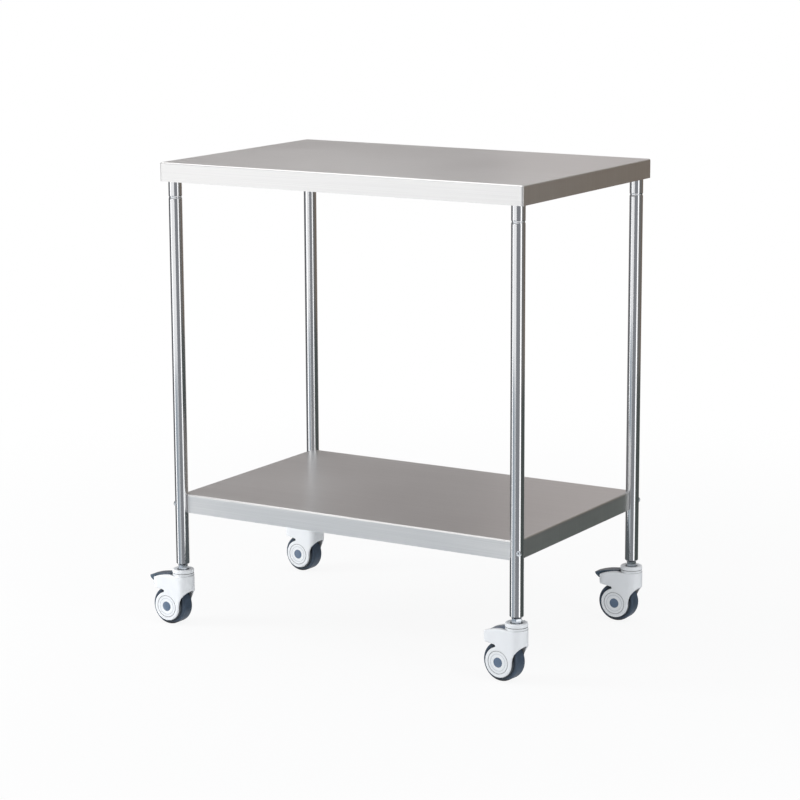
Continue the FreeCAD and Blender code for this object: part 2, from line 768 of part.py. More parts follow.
def on_ear_rim(edge):
    """True for an edge of a flat side that stays when the front cylinder is turned round."""
    spot = middle_of(edge)
    ends = [vertex.Point for vertex in edge.Vertexes]
    flat = all(abs(abs(point.y) - ear.value) < 0.01 for point in ends + [spot])
    return flat and spot.x < ear.value - 0.01


def make_housing(corner):
    body = new_node(f"caster_housing_{corner[0]}")
    side = sketch_on(body, "XZ_Plane")
    housing_outline(side)
    block = extrude(body, "Pad", side, ear * 2, both_ways=True)
    round_edges(body, block, size("housing_rounding"), on_ear_rim)
    plan = sketch_on(body, "XY_Plane")
    trim_outline(plan)
    extrude(body, "Pocket", plan, housing_top * 3, both_ways=True)
    neck = sketch_on(body, "XY_Plane", lift=housing_top - OVERCUT)
    circle(neck, 0, 0, size("neck_radius"))
    extrude(body, "Pad", neck, size("neck_height") + OVERCUT)
    well = sketch_on(body, "XZ_Plane")
    circle(well, axle_x, axle_z, axle_z + size("well_gap"))
    extrude(body, "Pocket", well, ear_inside * 2, both_ways=True)
    hollow = sketch_on(body, "XY_Plane")
    inside = ear - size("front_wall")
    points = ((axle_x, -inside), (0, -inside), (inside, 0), (0, inside), (axle_x, inside))
    trace(hollow, points, {1: (inside, "left"), 2: (inside, "left")})
    extrude(body, "Pocket", hollow, housing_top - size("hollow_drop"), reverse=True)
    boss_face = size("boss_face")
    sunk = ear_inside + size("shell_wall") / 2
    for face in (boss_face, -sunk):
        boss = sketch_on(body, "XZ_Plane", lift=face)
        circle(boss, axle_x, axle_z, size("boss_radius"))
        extrude(body, "Pad", boss, sunk - boss_face)
    slot = sketch_on(body, "XZ_Plane")
    past = size("nose_reach") + OVERCUT
    above = housing_top + size("neck_height") + OVERCUT
    slot_floor = housing_top - size("slot_depth")
    shoe_end = size("pivot_reach") + size("shoe_outer_reach") + size("shoe_play")
    trace(slot, (
        (-past, slot_floor), (-shoe_end, slot_floor), (-shoe_end, axle_z),
        (-size("pedal_slot_start"), axle_z), (-size("pedal_slot_start"), above), (-past, above),
    ))
    extrude(body, "Pocket", slot, size("pedal_slot_half") * 2, both_ways=True)
    pivot = sketch_on(body, "XZ_Plane")
    circle(pivot, -size("pivot_reach"), pivot_z, size("pivot_radius") + size("slip"))
    extrude(body, "Pocket", pivot, (size("pivot_half") + size("corner_gap")) * 2, both_ways=True)
    seat = sketch_on(body, "XZ_Plane")
    seat_radius = size("seat_radius") + size("slip")
    pit = seat_bottom - size("flange_pit_depth")
    trace(seat, (
        (0, pit), (size("flange_pit_radius"), pit),
        (size("flange_pit_radius"), seat_bottom), (seat_radius, seat_bottom),
        (seat_radius, above), (0, above),
    ))
    spin(body, "Groove", seat, "V_Axis")
    bores = sketch_on(body, "YZ_Plane", lift=axle_x, up=axle_z)
    past = ear + OVERCUT
    bore = size("axle_radius") + size("slip")
    under = size("cap_bore")
    cap = size("cap_radius") + size("slip")
    cap_floor = ear - size("cap_seat")
    trace(bores, (
        (-past, 0), (past, 0), (past, cap), (cap_floor, cap), (cap_floor, under), (head_seat, under),
        (head_seat, bore), (-head_seat, bore), (-head_seat, under), (-cap_floor, under),
        (-cap_floor, cap), (-past, cap),
    ))
    inner = size("ring_radius") - size("ring_width") / 2
    outer = size("ring_radius") + size("ring_width") / 2
    groove = ear - size("ring_depth")
    box_outline(bores, groove, inner, past, outer)
    box_outline(bores, -past, inner, -groove, outer)
    spin(body, "Groove", bores, "H_Axis")
    put_as_caster(body, corner)


def make_axle(corner):
    body = new_node(f"caster_axle_{corner[0]}")
    head = size("axle_head")
    shank = sketch_on(body, "XZ_Plane")
    circle(shank, axle_x, axle_z, size("axle_radius"))
    extrude(body, "Pad", shank, (head_seat + head) * 2, both_ways=True)
    for face in (head_seat, -head_seat - head):
        end = sketch_on(body, "XZ_Plane", lift=face)
        hexagon(end, axle_x, axle_z, size("axle_flats"))
        extrude(body, "Pad", end, head)
    put_as_caster(body, corner)


def make_axle_caps(corner):
    body = new_node(f"caster_axle_caps_{corner[0]}")
    profile = sketch_on(body, "YZ_Plane", lift=axle_x, up=axle_z)
    floor = ear - size("cap_seat")
    radius = size("cap_radius")
    rise = size("cap_rise")
    crown = ear + rise
    dome = (radius * radius + rise * rise) / (2 * rise)
    trace(profile, ((floor, 0), (crown, 0), (ear, radius), (floor, radius)), {1: (dome, "left")})
    trace(profile, ((-crown, 0), (-floor, 0), (-floor, radius), (-ear, radius)), {3: (dome, "left")})
    spin(body, "Revolution", profile, "H_Axis")
    put_as_caster(body, corner)


def make_wheel(corner):
    body = new_node(f"caster_wheel_{corner[0]}")
    hub = size("hub_half_width")
    seat = size("bearing_radius") + size("slip")
    stop = hub - size("bearing_width")
    bore = size("hub_bore")
    web = size("core_web")
    rim = size("tread_half_width") - OVERCUT / 2
    profile = sketch_on(body, "YZ_Plane", lift=axle_x, up=axle_z)
    trace(profile, (
        (-hub, seat), (-stop, seat), (-stop, bore), (stop, bore), (stop, seat), (hub, seat),
        (hub, size("hub_radius")), (web, size("hub_radius") + OVERCUT), (web, size("core_rim") - OVERCUT),
        (rim, size("core_rim")), (rim, size("core_radius")), (-rim, size("core_radius")),
        (-rim, size("core_rim")), (-web, size("core_rim") - OVERCUT),
        (-web, size("hub_radius") + OVERCUT), (-hub, size("hub_radius")),
    ))
    spin(body, "Revolution", profile, "H_Axis")
    put_as_caster(body, corner)


def make_tread(corner):
    body = new_node(f"caster_tread_{corner[0]}")
    half = size("tread_half_width")
    inner = size("core_radius") + size("slip")
    rounding = size("tread_rounding")
    profile = sketch_on(body, "YZ_Plane", lift=axle_x, up=axle_z)
    points = (
        (-half, inner), (half, inner), (half, axle_z - rounding), (half - rounding, axle_z),
        (rounding - half, axle_z), (-half, axle_z - rounding),
    )
    trace(profile, points, {2: (rounding, "left"), 4: (rounding, "left")})
    spin(body, "Revolution", profile, "H_Axis")
    put_as_caster(body, corner)


def make_wheel_bearings(corner):
    body = new_node(f"caster_wheel_bearings_{corner[0]}")
    bore = size("axle_radius") + size("slip")
    outer = size("bearing_radius")
    face = size("hub_half_width")
    back = face - size("bearing_width")
    ring = (outer - bore) / 4
    shield = face - size("shield_recess")
    profile = sketch_on(body, "YZ_Plane", lift=axle_x, up=axle_z)
    right = (
        (back, bore), (face, bore), (face, bore + ring), (shield, bore + ring),
        (shield, outer - ring), (face, outer - ring), (face, outer), (back, outer),
    )
    trace(profile, right)
    trace(profile, [(-y, radius) for y, radius in reversed(right)])
    spin(body, "Revolution", profile, "H_Axis")
    put_as_caster(body, corner)


def add_pivots(body):
    pins = sketch_on(body, "XZ_Plane")
    circle(pins, -size("pivot_reach"), pivot_z, size("pivot_radius"))
    extrude(body, "Pad", pins, size("pivot_half") * 2, both_ways=True)


def shoe_line():
    """The joint between the pedal's boss and the shoe, as its outer and its inner point."""
    outer_x = size("pivot_reach") + size("shoe_outer_reach")
    inner_x = size("pivot_reach") + size("shoe_inner_reach")
    return (-outer_x, pivot_z - size("shoe_outer_drop")), (-inner_x, pivot_z - size("shoe_inner_drop"))


def make_pedal(corner):
    body = new_node(f"brake_pedal_{corner[0]}")
    half = size("pedal_half_width")
    pivot_x = -size("pivot_reach")
    tip_z = pivot_z + size("pedal_tip_rise")
    hub = size("pivot_radius") + size("pivot_wall")
    outer, inner = shoe_line()
    heel_x = -size("pedal_heel_reach")
    side = sketch_on(body, "XZ_Plane")
    points = (
        (heel_x, pivot_z + size("pedal_top_rise")),
        (-size("pedal_reach"), tip_z),
        (-size("heel_reach"), pivot_z - size("heel_drop")),
        (size("underside_run") - size("heel_reach"), pivot_z - size("heel_drop") + size("underside_rise")),
        outer,
        inner,
        (pivot_x, pivot_z - hub),
        (pivot_x + hub, pivot_z),
        (heel_x + 1, pivot_z + size("pedal_top_rise") - 5),
    )
    arcs = {0: (size("pedal_top_radius"), "left"), 6: (hub, "left")}
    trace(side, points, arcs)
    block = extrude(body, "Pad", side, half * 2, both_ways=True)
    long_edge = lambda edge: not is_straight(edge) and middle_of(edge).z > tip_z.value
    round_edges(body, block, size("pedal_rounding"), long_edge)
    plan = sketch_on(body, "XY_Plane")
    end = size("pedal_reach")
    past = half + OVERCUT
    radius = size("pedal_corner_radius")
    trace(plan, (
        (radius - end, past), (-end - OVERCUT, past), (-end - OVERCUT, -past), (radius - end, -past),
        (radius - end, -half), (-end, radius - half), (-end, half - radius), (radius - end, half),
    ), {4: (radius, "right"), 6: (radius, "right")})
    extrude(body, "Pocket", plan, housing_top * 3, both_ways=True)
    add_pivots(body)
    put_as_caster(body, corner)


def make_shoe(corner):
    body = new_node(f"brake_shoe_{corner[0]}")
    outer, inner = shoe_line()
    drop = size("shoe_gauge")
    side = sketch_on(body, "XZ_Plane")
    trace(side, (outer, (outer[0], outer[1] - drop), (inner[0], inner[1] - drop), inner))
    extrude(body, "Pad", side, size("shoe_half_width") * 2, both_ways=True)
    put_as_caster(body, corner)


def make_slot_cover(corner):
    body = new_node(f"slot_cover_{corner[0]}")
    start = size("nose_start")
    side = sketch_on(body, "XZ_Plane")
    top = housing_top - size("cover_drop")
    curve = size("cover_curve")
    near = size("pedal_slot_start") + size("corner_gap")
    far = size("nose_reach") - size("cover_setback")
    below = pivot_z - size("cover_wall")
    points = (
        (-near, top), (-start, top), (-far, top - curve + side_of(curve, far - start)),
        (-far, below), (-near, below),
    )
    trace(side, points, {1: (curve, "left")})
    extrude(body, "Pad", side, (size("pedal_slot_half") - size("corner_gap")) * 2, both_ways=True)
    add_pivots(body)
    put_as_caster(body, corner)


def make_caster(corner):
    make_stem(corner)
    make_collar(corner)
    make_swivel_bearing(corner)
    make_housing(corner)
    make_axle(corner)
    make_axle_caps(corner)
    make_wheel(corner)
    make_tread(corner)
    make_wheel_bearings(corner)
    if corner[4]:
        make_pedal(corner)
        make_shoe(corner)
    else:
        make_slot_cover(corner)


def build():
    make_worktop()
    rib_y = size("rib_spacing") / 2
    make_rib("worktop_stiffener_front", size("table_length"), sheet_underside, -rib_y)
    make_rib("worktop_stiffener_rear", size("table_length"), sheet_underside, rib_y)
    make_shelf()
    make_rib("shelf_stiffener", leg_x * 2, size("shelf_height") - gauge, Size(0))
    make_corner_brackets()
    make_shelf_screws()
    make_shelf_screw_nuts()
    make_leg_joint_studs()
    make_leg_foot_plugs()
    for corner in CORNERS:
        make_leg(corner)
        make_caster(corner)
    doc.recompute()


def check():
    """Stops before anything is written if the document holds a failed object or a bad shape."""
    failed = [item.Name for item in doc.Objects if {"Invalid", "Error"} & set(item.State)]
    for node in nodes:
        if node.Shape.isNull() or not node.Shape.isValid() or not node.Shape.Solids:
            failed.append(node.Label)
    if failed:
        raise RuntimeError(f"not sound: {', '.join(failed)}")


def write():
    os.makedirs("parts", exist_ok=True)
    for node in nodes:
        node.Shape.exportStep(f"parts/{node.Label}.step")
    print(len(nodes), "nodes,", sum(len(node.Shape.Solids) for node in nodes), "solids")


build()
check()
write()
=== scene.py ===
import json
import math

import bpy
from mathutils import Matrix, Vector


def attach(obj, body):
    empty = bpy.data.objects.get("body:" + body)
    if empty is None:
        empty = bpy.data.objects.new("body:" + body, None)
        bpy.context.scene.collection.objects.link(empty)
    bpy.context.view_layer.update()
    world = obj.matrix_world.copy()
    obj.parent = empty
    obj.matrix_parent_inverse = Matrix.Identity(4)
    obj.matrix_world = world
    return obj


bl_info = {
    "name": "Instrument table dressing",
    "version": (1, 0, 0),
    "blender": (4, 5, 0),
    "location": "3D View > Sidebar > Instrument table",
    "description": "Finishes, moulded details and studio for the two-level instrument table",
    "category": "Object",
}

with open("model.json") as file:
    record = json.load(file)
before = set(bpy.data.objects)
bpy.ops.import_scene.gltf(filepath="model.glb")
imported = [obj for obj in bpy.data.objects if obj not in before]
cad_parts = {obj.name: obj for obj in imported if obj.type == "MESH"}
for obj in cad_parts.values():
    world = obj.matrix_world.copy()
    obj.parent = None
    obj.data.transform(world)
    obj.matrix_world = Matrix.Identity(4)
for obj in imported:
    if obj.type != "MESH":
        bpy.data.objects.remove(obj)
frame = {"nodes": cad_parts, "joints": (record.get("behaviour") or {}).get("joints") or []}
NODES = frame["nodes"]
CORNERS = ("front_left", "front_right", "rear_right", "rear_left")
MM = 0.001

# A noise stays mostly between these two values, so they stand for its lowest and highest
NOISE_LOW = 0.3
NOISE_HIGH = 0.7
NOISE_RANGE = {"From Min": NOISE_LOW, "From Max": NOISE_HIGH}

# Polishing lines and tool marks, both drawn wider than they are so that they show
POLISH_LINE = 0.8 * MM
TOOL_MARK = 0.4 * MM

# Patches to a metre: 200 mm of handling on sheet, 33 mm of flow in mouldings, 11 mm of dust on treads
HANDLING_PATCHES = 5.0
FLOW_PATCHES = 30.0
DUST_PATCHES = 90.0

# The edges of an ear ring lie a little inside the ear, so that no gap shows under it
RING_VERTICES = 96
RING_STEPS = 4
RING_SINK = 0.05 * MM

# The photograph's viewpoint in metres and radians, solved from the table's straight edges
CAMERA_PLACE = (2.55198, -4.20442, 1.42329)
CAMERA_AZIMUTH = 0.5482
CAMERA_PITCH = 0.1973
CAMERA_ROLL = -0.00443
CAMERA_LENS = 118.16
CAMERA_SENSOR = 36
CAMERA_REACH = 60

# Floor and room, in metres. As the camera sees it, the floor's share of plain white grows between
# two distances from the table's middle, so the shadow shows only near the table.
FLOOR_SIZE = 24
FLOOR_WHITE = "#f4f5f6"
ROOM_WHITE = "#f7f8fa"
SHADOW_NEAR = 0.7
SHADOW_FAR = 2.2
PLAIN_NEAR = 0.9
PLAIN_FAR = 1.0

# Both lamps are soft boxes of one height, and hang equally far out and up
LAMP_DISTANCE = 2.7
LAMP_HEIGHT = 1.25
LAMP_TALL = 2.4

# Each studio card has two azimuths in degrees, as the views name them, a low and a high edge, each a
# distance and a height in metres, and a grey with its strength. The walls reach below the floor,
# because an upright face that is seen from above mirrors what lies lower.
DEEP = -1.4
CARD_STEPS = 24
CARDS = (
    ("card_behind_camera", 9, 63, (3.0, DEEP), (3.0, 3.2), "#8d8f93", 1.0),
    ("card_front", -47, 6, (3.0, 0.0), (3.0, 0.75), "#ffffff", 1.1),
    ("card_front_bright", -42, -10, (3.0, 0.75), (3.0, 1.3), "#ffffff", 1.7),
    ("card_front_high", -60, 6, (3.1, 0.75), (3.1, 3.2), "#c6c8ca", 1.0),
    ("card_front_left", -68, -60, (3.0, DEEP), (3.0, 3.2), "#bfc2c4", 1.0),
    ("card_front_low", -47, -18, (3.0, DEEP), (3.0, 0.0), "#a1acb6", 1.0),
    ("card_corner_low", -18, 6, (3.0, DEEP), (3.0, 0.0), "#c6ccd1", 1.0),
    ("card_right", 85, 132, (3.0, 0.0), (3.0, 2.6), "#777572", 1.0),
    ("card_back_right", 132, 176, (3.0, 0.0), (3.0, 2.6), "#796e63", 1.0),
    ("card_right_low", 85, 176, (3.0, DEEP), (3.0, 0.0), "#505654", 1.0),
    ("card_back", 176, 206, (3.1, 1.2), (3.1, 3.4), "#b6afad", 1.0),
    ("card_back_low", 176, 206, (3.1, DEEP), (3.1, 1.2), "#a8a19f", 1.0),
    ("card_back_left", 206, 236, (3.1, DEEP), (3.1, 3.4), "#908b8a", 1.0),
    ("card_left", 236, 292, (3.1, DEEP), (3.1, 3.4), "#6c6d6f", 1.0),
    # The sheet under the table is painted shade: metal mirrors its grey in place of the shaded floor
    # there.
    ("card_under_painted_shade", 0, 360, (0.0, 0.012), (0.4, 0.012), "#5b6163", 1.0),
    ("card_key", -60, -47, (2.6, DEEP), (2.6, 0.75), "#ffffff", 1.8),
    ("card_fill", 68, 79, (2.6, DEEP), (2.6, 2.6), "#ffffff", 1.7),
    ("card_above", -140, 40, (0.4, 2.9), (2.6, 2.9), "#ffffff", 1.6),
    ("card_ceiling", 40, 220, (0.4, 2.9), (2.6, 2.9), "#bbbdbf", 1.0),
)


# Colours and small tools

def linear(code):
    """sRGB hex to the linear colour that a shader's socket takes."""
    parts = [int(code[i:i + 2], 16) / 255 for i in (1, 3, 5)]
    made = [c / 12.92 if c <= 0.04045 else ((c + 0.055) / 1.055) ** 2.4 for c in parts]
    return (*made, 1.0)


def darker(colour, share):
    return (*[c * share for c in colour[:3]], 1.0)


def colour_property(name, description, code):
    return bpy.props.FloatVectorProperty(
        name=name, description=description, subtype="COLOR", size=4, min=0.0, max=1.0,
        default=linear(code),
    )


def length_property(name, description, millimetres):
    return bpy.props.FloatProperty(
        name=name, description=description, subtype="DISTANCE", unit="LENGTH", min=0.0,
        default=millimetres * MM, precision=5,
    )


def add_node(owner, kind, values=None, links=None, stops=(), **settings):
    """Adds a node to a material or the world. Settings are the node's own, values go to its sockets,
    links join them, and stops are the places and colours of a ramp."""
    tree = owner.node_tree
    node = tree.nodes.new(kind)
    for name, setting in settings.items():
        setattr(node, name, setting)
    for socket, value in (values or {}).items():
        node.inputs[socket].default_value = value
    for socket, source in (links or {}).items():
        tree.links.new(source, node.inputs[socket])
    for number, (place, colour) in enumerate(stops):
        node.color_ramp.elements[number].position = place
        node.color_ramp.elements[number].color = colour
    return node


def join(owner, source, socket):
    owner.node_tree.links.new(source, socket)


def start_nodes(owner, output_kind="ShaderNodeOutputMaterial"):
    """Clears the nodes of a material or the world, and gives it its output."""
    owner.use_nodes = True
    owner.node_tree.nodes.clear()
    return add_node(owner, output_kind)


def start_material(name):
    """A new material with its shader, and the object's own coordinates."""
    material = bpy.data.materials.new(name)
    output = start_nodes(material)
    shader = add_node(material, "ShaderNodeBsdfPrincipled")
    join(material, shader.outputs["BSDF"], output.inputs["Surface"])
    coordinates = add_node(material, "ShaderNodeTexCoord")
    return material, shader, coordinates


def give(material, names):
    """Puts one material in every slot of the named CAD nodes."""
    for name in names:
        slots = NODES[name].data.materials
        slots.clear()
        slots.append(material)


def at_corners(*stems):
    """The nodes of these kinds at the four corners, where a corner has one."""
    names = [f"{stem}_{corner}" for stem in stems for corner in CORNERS]
    return [name for name in names if name in NODES]


def clear_selection():
    if bpy.context.object and bpy.context.object.mode != "OBJECT":
        bpy.ops.object.mode_set(mode="OBJECT")
    bpy.ops.object.select_all(action="DESELECT")


# Colours, sizes and lamps that a user may change

class TableColours(bpy.types.PropertyGroup):
    sheet: colour_property("Brushed sheet", "Stainless sheet of worktop and shelf", "#efeeed")
    tube: colour_property("Polished tube", "Stainless tube of the legs", "#dfe0e2")
    plated: colour_property("Plated steel", "Screws, stems and bearings", "#dbe0e6")
    white: colour_property("White moulding", "Housings and collars", "#f4f7fa")
    # The ear ring's colour is greyer than the housings' white, as painted shade along the ring.
    ring: colour_property("Ear ring", "Raised ring on each ear, greyed as painted shade", "#dbe0e5")
    slate: colour_property("Slate moulding", "Axle caps and slot covers", "#65778e")
    # The pedals' slate is lower than the caps' to match pedals in shade: painted shade in their
    # colour.
    pedal_with_painted_shade: colour_property("Pedal moulding", "Brake pedals", "#50606f")
    core: colour_property("Wheel core", "Moulded core of the wheels", "#9aa1a8")
    tread: colour_property("Tread", "Soft tread of the wheels", "#3e4e60")


class TableSizes(bpy.types.PropertyGroup):
    streak: length_property("Brush streak", "Width of the brushed lines as drawn", 1.6)
    streak_length: length_property("Streak length", "Length of the brushed lines", 260)
    moulding_grain: length_property("Moulding grain", "Grain of the moulded plastic", 0.7)
    tread_grain: length_property("Tread grain", "Grain of the soft tread", 0.5)
    soft_edge: length_property("Moulded edge", "Softness of the housings' edges", 1.4)
    # The four gap reaches below set how far painted shade darkens the colour near other surfaces.
    gap: length_property("Gap depth", "How far slate pieces and wheel cores darken in a gap", 6)
    housing_gap: length_property("Housing gap", "How far into the housings the white darkens", 9)
    collar_gap: length_property("Collar gap", "How far collars and ear rings darken in a gap", 1.5)
    tread_gap: length_property("Tread gap", "How far beside the ears the tread darkens", 9)
    ring_radius: length_property("Ear ring", "Middle radius of the raised ring on each ear", 15.8)
    ring_width: length_property("Ear ring width", "Width of the raised ring on each ear", 1.0)
    ring_rise: length_property("Ear ring rise", "Height of the raised ring on each ear", 0.35)


class TableLights(bpy.types.PropertyGroup):
    key: bpy.props.FloatProperty(
        name="Key lamp", description="Soft box at the front left", unit="POWER", default=51, min=0,
    )
    fill: bpy.props.FloatProperty(
        name="Fill lamp", description="Soft box at the right", unit="POWER", default=14, min=0,
    )
    sky: bpy.props.FloatProperty(
        name="Room light", description="Strength of the plain light all round", default=0.66, min=0,
    )


# Finishes

def brushed_sheet():
    """Brushed 304 stainless sheet. Belt-brushed along the sheet's long side, so reflections smear
    across the lines. The real lines are 0.1 to 0.2 mm wide, and are drawn wider here so that they
    show. At the sheet's ends they turn down with the fold."""
    colours, sizes = bpy.context.scene.table_colours, bpy.context.scene.table_sizes
    material, shader, coordinates = start_material("Brushed stainless sheet")
    facing = add_node(material, "ShaderNodeSeparateXYZ", links={0: coordinates.outputs["Normal"]})
    end_face = add_node(
        material, "ShaderNodeMath", links={0: facing.outputs["X"]}, operation="ABSOLUTE")
    front_face = add_node(
        material, "ShaderNodeMath", links={0: facing.outputs["Y"]}, operation="ABSOLUTE")
    off_end = add_node(
        material, "ShaderNodeMath", {0: 1.0}, {1: end_face.outputs[0]}, operation="SUBTRACT")
    off_front = add_node(
        material, "ShaderNodeMath", {0: 1.0}, {1: front_face.outputs[0]}, operation="SUBTRACT")
    along = sizes.streak / sizes.streak_length
    stretch = add_node(material, "ShaderNodeCombineXYZ", {"X": along, "Y": 1.0}, {
        "Z": off_end.outputs[0]})
    drawn = add_node(material, "ShaderNodeVectorMath", links={
        0: coordinates.outputs["Object"], 1: stretch.outputs[0]}, operation="MULTIPLY")
    lines = add_node(material, "ShaderNodeTexNoise", {"Scale": 1 / sizes.streak, "Detail": 3.0}, {
        "Vector": drawn.outputs[0]})
    handling = add_node(material, "ShaderNodeTexNoise", {
        "Scale": HANDLING_PATCHES, "Detail": 2.0}, {"Vector": coordinates.outputs["Object"]})
    shade = add_node(material, "ShaderNodeValToRGB", links={"Fac": lines.outputs["Fac"]}, stops=(
        (NOISE_LOW, darker(colours.sheet, 0.93)), (NOISE_HIGH, colours.sheet)))
    rough = add_node(material, "ShaderNodeMapRange", {
        **NOISE_RANGE, "To Min": 0.27, "To Max": 0.34}, {"Value": lines.outputs["Fac"]})
    worn = add_node(material, "ShaderNodeMath", {1: 0.06}, {
        0: handling.outputs["Fac"], 2: rough.outputs["Result"]}, operation="MULTIPLY_ADD")
    across = add_node(material, "ShaderNodeCombineXYZ", {"X": 0.0}, {
        "Y": off_front.outputs[0], "Z": front_face.outputs[0]})
    bump = add_node(material, "ShaderNodeBump", {"Strength": 0.12, "Distance": 0.03 * MM}, {
        "Height": lines.outputs["Fac"]})
    join(material, shade.outputs["Color"], shader.inputs["Base Color"])
    join(material, worn.outputs[0], shader.inputs["Roughness"])
    join(material, across.outputs[0], shader.inputs["Tangent"])
    join(material, bump.outputs[0], shader.inputs["Normal"])
    shader.inputs["Metallic"].default_value = 1.0
    shader.inputs["Anisotropic"].default_value = 0.6
    return material


def polished_tube():
    """Polished 304 stainless tube. Ground and polished along its length, so it mirrors the room in
    clean upright streaks."""
    colours = bpy.context.scene.table_colours
    material, shader, coordinates = start_material("Polished stainless tube")
    long_lines = (1.0, 1.0, 0.006)
    stretch = add_node(material, "ShaderNodeVectorMath", {1: long_lines}, {
        0: coordinates.outputs["Object"]}, operation="MULTIPLY")
    lines = add_node(material, "ShaderNodeTexNoise", {"Scale": 1 / POLISH_LINE, "Detail": 2.0}, {
        "Vector": stretch.outputs[0]})
    rough = add_node(material, "ShaderNodeMapRange", {
        **NOISE_RANGE, "To Min": 0.11, "To Max": 0.125}, {"Value": lines.outputs["Fac"]})
    shade = add_node(material, "ShaderNodeValToRGB", links={"Fac": lines.outputs["Fac"]}, stops=(
        (NOISE_LOW, darker(colours.tube, 0.97)), (NOISE_HIGH, colours.tube)))
    join(material, shade.outputs["Color"], shader.inputs["Base Color"])
    join(material, rough.outputs["Result"], shader.inputs["Roughness"])
    shader.inputs["Metallic"].default_value = 1.0
    return material


def plated_steel():
    """Bright zinc-plated steel. Turned and plated, so it is bluish and has fine tool marks."""
    colours = bpy.context.scene.table_colours
    material, shader, coordinates = start_material("Bright zinc-plated steel")
    marks = add_node(material, "ShaderNodeTexNoise", {"Scale": 1 / TOOL_MARK, "Detail": 1.0}, {
        "Vector": coordinates.outputs["Object"]})
    rough = add_node(material, "ShaderNodeMapRange", {
        **NOISE_RANGE, "To Min": 0.16, "To Max": 0.3}, {"Value": marks.outputs["Fac"]})
    shade = add_node(material, "ShaderNodeValToRGB", links={"Fac": marks.outputs["Fac"]}, stops=(
        (0.35, darker(colours.plated, 0.88)), (0.65, colours.plated)))
    join(material, shade.outputs["Color"], shader.inputs["Base Color"])
    join(material, rough.outputs["Result"], shader.inputs["Roughness"])
    shader.inputs["Metallic"].default_value = 1.0
    return material


def painted_gap_shade(material, colour, reach, strength):
    """The colour of a surface with painted shade: ambient occlusion darkens it in gaps and along each
    seam, where little light reaches.
    """
    # Painted shade: the occlusion, raised to a power, scales the colour down.
    closed = add_node(material, "ShaderNodeAmbientOcclusion", {"Distance": reach}, samples=8)
    depth = add_node(
        material, "ShaderNodeMath", {1: strength}, {0: closed.outputs["AO"]}, operation="POWER")
    shade = add_node(material, "ShaderNodeVectorMath", links={0: colour}, operation="SCALE")
    join(material, depth.outputs[0], shade.inputs["Scale"])
    return shade.outputs[0]


def moulded_plastic(name, colour, roughness, edge, gap):
    """An injection-moulded plastic: fine spark grain in the mould gives a satin sheen, its corners are
    softly rounded, and painted shade darkens it in its gaps and along each seam. The grain is drawn
    coarser than the real 0.1 mm so that it shows."""
    grain = bpy.context.scene.table_sizes.moulding_grain
    spread = 0.04
    material, shader, coordinates = start_material(name)
    spark = add_node(material, "ShaderNodeTexNoise", {"Scale": 1 / grain, "Detail": 2.0}, {
        "Vector": coordinates.outputs["Object"]})
    flow = add_node(material, "ShaderNodeTexNoise", {"Scale": FLOW_PATCHES, "Detail": 1.0}, {
        "Vector": coordinates.outputs["Object"]})
    shade = add_node(material, "ShaderNodeValToRGB", links={"Fac": flow.outputs["Fac"]}, stops=(
        (NOISE_LOW, darker(colour, 0.96)), (NOISE_HIGH, colour)))
    rough = add_node(material, "ShaderNodeMapRange", {
        **NOISE_RANGE, "To Min": roughness - spread, "To Max": roughness + spread}, {
        "Value": spark.outputs["Fac"]})
    rounded = add_node(material, "ShaderNodeBevel", {"Radius": edge}, samples=6)
    bump = add_node(material, "ShaderNodeBump", {"Strength": 0.1, "Distance": 0.02 * MM}, {
        "Height": spark.outputs["Fac"], "Normal": rounded.outputs[0]})
    # Painted shade: the colour darkens in gaps and along each seam, as far as the gap reach.
    painted_seam_shade = painted_gap_shade(material, shade.outputs["Color"], gap, strength=1.1)
    join(material, painted_seam_shade, shader.inputs["Base Color"])
    join(material, rough.outputs["Result"], shader.inputs["Roughness"])
    join(material, bump.outputs[0], shader.inputs["Normal"])
    shader.inputs["IOR"].default_value = 1.49
    return material


def soft_tread():
    """Thermoplastic rubber, moulded onto the core. Matt and slate blue, with a dusty, finely pitted
    skin, and painted shade that darkens it beside the ears. The pits are drawn coarser than they are
    so that they show."""
    colours, sizes = bpy.context.scene.table_colours, bpy.context.scene.table_sizes
    material, shader, coordinates = start_material("Moulded thermoplastic rubber")
    pits = add_node(material, "ShaderNodeTexNoise", {
        "Scale": 1 / sizes.tread_grain, "Detail": 3.0}, {"Vector": coordinates.outputs["Object"]})
    dust = add_node(material, "ShaderNodeTexNoise", {"Scale": DUST_PATCHES, "Detail": 4.0}, {
        "Vector": coordinates.outputs["Object"]})
    shade = add_node(material, "ShaderNodeValToRGB", links={"Fac": dust.outputs["Fac"]}, stops=(
        (0.35, darker(colours.tread, 0.85)), (0.7, darker(colours.tread, 1.12))))
    rough = add_node(material, "ShaderNodeMapRange", {
        **NOISE_RANGE, "To Min": 0.5, "To Max": 0.66}, {"Value": dust.outputs["Fac"]})
    bump = add_node(material, "ShaderNodeBump", {"Strength": 0.2, "Distance": 0.06 * MM}, {
        "Height": pits.outputs["Fac"]})
    # Painted shade: the tread's colour darkens beside the ears, where the wheel sits inside the
    # housing.
    painted_shade_beside_ears = painted_gap_shade(material, shade.outputs["Color"], sizes.tread_gap, strength=3.0)
    join(material, painted_shade_beside_ears, shader.inputs["Base Color"])
    join(material, rough.outputs["Result"], shader.inputs["Roughness"])
    join(material, bump.outputs[0], shader.inputs["Normal"])
    shader.inputs["IOR"].default_value = 1.5
    return material


# Dressing the frame's own pieces

